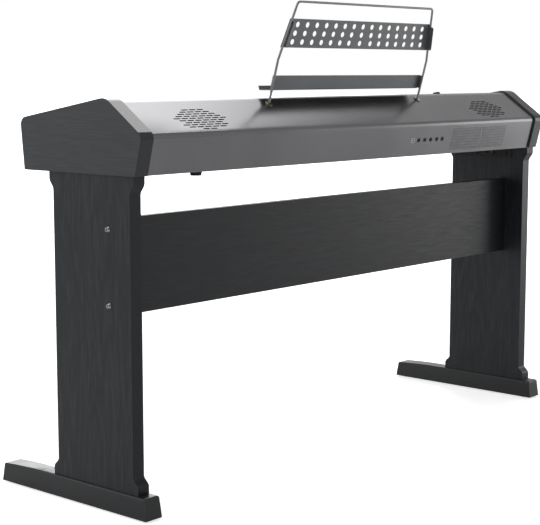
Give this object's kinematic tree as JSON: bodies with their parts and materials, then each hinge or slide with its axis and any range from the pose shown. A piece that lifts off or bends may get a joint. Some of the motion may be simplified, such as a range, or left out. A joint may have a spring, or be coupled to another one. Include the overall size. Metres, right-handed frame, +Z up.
{
  "type": "digital piano on stand",
  "caption": "Full-size digital piano with a sheet metal top, wood-grain cheeks and a wire music rest, on a panel stand with long feet.",
  "frame": {"origin": "on the floor, below the middle of the piano, half way between the tips of the feet", "axes": "+X along the keyboard towards the treble end, -Y towards the player, +Z up"},
  "size_m": [1.388, 0.42, 0.9681],
  "materials": {
    "stand_laminate": "satin black wood-grain laminate",
    "case_laminate": "satin black wood-grain laminate",
    "moulded_foot": "satin moulded plastic",
    "rubber": "matte rubber",
    "nickel": "nickel plated",
    "cover_paint": "semi-gloss metallic paint",
    "black_plastic": "fine textured moulding",
    "felt": "pressed felt",
    "frame_plastic": "plain moulding",
    "circuit_board": "solder mask",
    "silicone": "translucent silicone rubber",
    "white_key": "polished moulding",
    "black_key": "satin moulding",
    "usb_white": "plain moulding",
    "window": "smoked clear plastic",
    "basket_steel": "black paint",
    "cone_paper": "pressed paper",
    "cloth": "woven speaker cloth",
    "label": "printed film without text",
    "socket_nickel": "nickel plated",
    "rest_paint": "semi-gloss powder coat",
    "button_grey": "satin moulding",
    "button_red": "satin moulding"
  },
  "bodies": {
    "piano": {"leg_left": "stand_laminate", "leg_right": "stand_laminate", "foot_left": "moulded_foot", "foot_right": "moulded_foot", "foot_glides": "rubber", "modesty_panel": "stand_laminate", "panel_bolts": "nickel", "cam_fittings": "black_plastic", "stand_brackets": "basket_steel", "bracket_screws": "basket_steel", "cheek_left": "case_laminate", "cheek_right": "case_laminate", "base_board": "case_laminate", "rubber_feet": "rubber", "top_cover": "cover_paint", "control_panel": "black_plastic", "key_slip": "black_plastic", "end_blocks": "black_plastic", "felt_strip": "felt", "case_screws": "nickel", "key_frame": "frame_plastic", "pivot_rod": "nickel", "contact_board": "circuit_board", "contact_strips": "silicone", "main_board": "circuit_board", "panel_board": "circuit_board", "usb_socket": "usb_white", "jack_sockets": "black_plastic", "dc_socket": "black_plastic", "display_window": "window", "speaker_baskets": "basket_steel", "speaker_cones": "cone_paper", "grille_cloths": "cloth", "rating_labels": "label", "rest_sockets": "socket_nickel"},
    "key_c4_body": {"key_c4": "white_key"},
    "key_c_sharp4_body": {"key_c_sharp4": "black_key"},
    "key_d4_body": {"key_d4": "white_key"},
    "key_d_sharp4_body": {"key_d_sharp4": "black_key"},
    "key_e4_body": {"key_e4": "white_key"},
    "key_f4_body": {"key_f4": "white_key"},
    "key_f_sharp4_body": {"key_f_sharp4": "black_key"},
    "key_g4_body": {"key_g4": "white_key"},
    "key_g_sharp4_body": {"key_g_sharp4": "black_key"},
    "key_a4_body": {"key_a4": "white_key"},
    "key_a_sharp4_body": {"key_a_sharp4": "black_key"},
    "key_b4_body": {"key_b4": "white_key"},
    "white_keys_bass_body": {"white_keys_bass": "white_key"},
    "black_keys_bass_body": {"black_keys_bass": "black_key"},
    "white_keys_treble_body": {"white_keys_treble": "white_key"},
    "black_keys_treble_body": {"black_keys_treble": "black_key"},
    "music_rest": {"rest_frame": "rest_paint", "rest_plate": "rest_paint", "rest_ledge": "rest_paint"},
    "power_button_body": {"power_button": "button_red"},
    "voice_button_body": {"voice_button": "button_grey"},
    "metronome_button_body": {"metronome_button": "button_grey"},
    "minus_button_body": {"minus_button": "button_grey"},
    "plus_button_body": {"plus_button": "button_grey"},
    "volume_knob_body": {"volume_knob": "black_plastic"}
  },
  "joints": [
    {"name": "key_c4_press", "type": "hinge", "parent": "piano", "child": "key_c4_body", "pos_m": [0, 0.107, 0.703], "axis": [1, 0, 0], "range_deg": [0, 2.7], "stiffness_Nm_per_rad": 1.2, "springref_deg": -20.05},
    {"name": "key_c_sharp4_press", "type": "hinge", "parent": "piano", "child": "key_c_sharp4_body", "pos_m": [0, 0.107, 0.703], "axis": [1, 0, 0], "range_deg": [0, 2.7], "stiffness_Nm_per_rad": 1.2, "springref_deg": -20.05},
    {"name": "key_d4_press", "type": "hinge", "parent": "piano", "child": "key_d4_body", "pos_m": [0, 0.107, 0.703], "axis": [1, 0, 0], "range_deg": [0, 2.7], "stiffness_Nm_per_rad": 1.2, "springref_deg": -20.05},
    {"name": "key_d_sharp4_press", "type": "hinge", "parent": "piano", "child": "key_d_sharp4_body", "pos_m": [0, 0.107, 0.703], "axis": [1, 0, 0], "range_deg": [0, 2.7], "stiffness_Nm_per_rad": 1.2, "springref_deg": -20.05},
    {"name": "key_e4_press", "type": "hinge", "parent": "piano", "child": "key_e4_body", "pos_m": [0, 0.107, 0.703], "axis": [1, 0, 0], "range_deg": [0, 2.7], "stiffness_Nm_per_rad": 1.2, "springref_deg": -20.05},
    {"name": "key_f4_press", "type": "hinge", "parent": "piano", "child": "key_f4_body", "pos_m": [0, 0.107, 0.703], "axis": [1, 0, 0], "range_deg": [0, 2.7], "stiffness_Nm_per_rad": 1.2, "springref_deg": -20.05},
    {"name": "key_f_sharp4_press", "type": "hinge", "parent": "piano", "child": "key_f_sharp4_body", "pos_m": [0, 0.107, 0.703], "axis": [1, 0, 0], "range_deg": [0, 2.7], "stiffness_Nm_per_rad": 1.2, "springref_deg": -20.05},
    {"name": "key_g4_press", "type": "hinge", "parent": "piano", "child": "key_g4_body", "pos_m": [0, 0.107, 0.703], "axis": [1, 0, 0], "range_deg": [0, 2.7], "stiffness_Nm_per_rad": 1.2, "springref_deg": -20.05},
    {"name": "key_g_sharp4_press", "type": "hinge", "parent": "piano", "child": "key_g_sharp4_body", "pos_m": [0, 0.107, 0.703], "axis": [1, 0, 0], "range_deg": [0, 2.7], "stiffness_Nm_per_rad": 1.2, "springref_deg": -20.05},
    {"name": "key_a4_press", "type": "hinge", "parent": "piano", "child": "key_a4_body", "pos_m": [0, 0.107, 0.703], "axis": [1, 0, 0], "range_deg": [0, 2.7], "stiffness_Nm_per_rad": 1.2, "springref_deg": -20.05},
    {"name": "key_a_sharp4_press", "type": "hinge", "parent": "piano", "child": "key_a_sharp4_body", "pos_m": [0, 0.107, 0.703], "axis": [1, 0, 0], "range_deg": [0, 2.7], "stiffness_Nm_per_rad": 1.2, "springref_deg": -20.05},
    {"name": "key_b4_press", "type": "hinge", "parent": "piano", "child": "key_b4_body", "pos_m": [0, 0.107, 0.703], "axis": [1, 0, 0], "range_deg": [0, 2.7], "stiffness_Nm_per_rad": 1.2, "springref_deg": -20.05},
    {"name": "white_keys_bass_press", "type": "hinge", "parent": "piano", "child": "white_keys_bass_body", "pos_m": [0, 0.107, 0.703], "axis": [1, 0, 0], "range_deg": [0, 2.7], "stiffness_Nm_per_rad": 27.6, "springref_deg": -20.05},
    {"name": "black_keys_bass_press", "type": "hinge", "parent": "piano", "child": "black_keys_bass_body", "pos_m": [0, 0.107, 0.703], "axis": [1, 0, 0], "range_deg": [0, 2.7], "stiffness_Nm_per_rad": 19.2, "springref_deg": -20.05},
    {"name": "white_keys_treble_press", "type": "hinge", "parent": "piano", "child": "white_keys_treble_body", "pos_m": [0, 0.107, 0.703], "axis": [1, 0, 0], "range_deg": [0, 2.7], "stiffness_Nm_per_rad": 26.4, "springref_deg": -20.05},
    {"name": "black_keys_treble_press", "type": "hinge", "parent": "piano", "child": "black_keys_treble_body", "pos_m": [0, 0.107, 0.703], "axis": [1, 0, 0], "range_deg": [0, 2.7], "stiffness_Nm_per_rad": 18, "springref_deg": -20.05},
    {"name": "rest_lift", "type": "slide", "parent": "piano", "child": "music_rest", "axis": [0, 0.2706, 0.9627], "range_m": [0, 0.12]},
    {"name": "volume_turn", "type": "hinge", "parent": "piano", "child": "volume_knob_body", "pos_m": [-0.403, 0.08163, 0.77032], "axis": [0, -0.1716, 0.9852], "range_deg": [-140, 140]},
    {"name": "power_button_press", "type": "slide", "parent": "piano", "child": "power_button_body", "axis": [0, 0.1716, -0.9852], "range_m": [0, 0.0012], "stiffness_N_per_m": 300, "springref_m": -0.002},
    {"name": "voice_button_press", "type": "slide", "parent": "piano", "child": "voice_button_body", "axis": [0, 0.1716, -0.9852], "range_m": [0, 0.0012], "stiffness_N_per_m": 300, "springref_m": -0.002},
    {"name": "metronome_button_press", "type": "slide", "parent": "piano", "child": "metronome_button_body", "axis": [0, 0.1716, -0.9852], "range_m": [0, 0.0012], "stiffness_N_per_m": 300, "springref_m": -0.002},
    {"name": "minus_button_press", "type": "slide", "parent": "piano", "child": "minus_button_body", "axis": [0, 0.1716, -0.9852], "range_m": [0, 0.0012], "stiffness_N_per_m": 300, "springref_m": -0.002},
    {"name": "plus_button_press", "type": "slide", "parent": "piano", "child": "plus_button_body", "axis": [0, 0.1716, -0.9852], "range_m": [0, 0.0012], "stiffness_N_per_m": 300, "springref_m": -0.002}
  ]
}
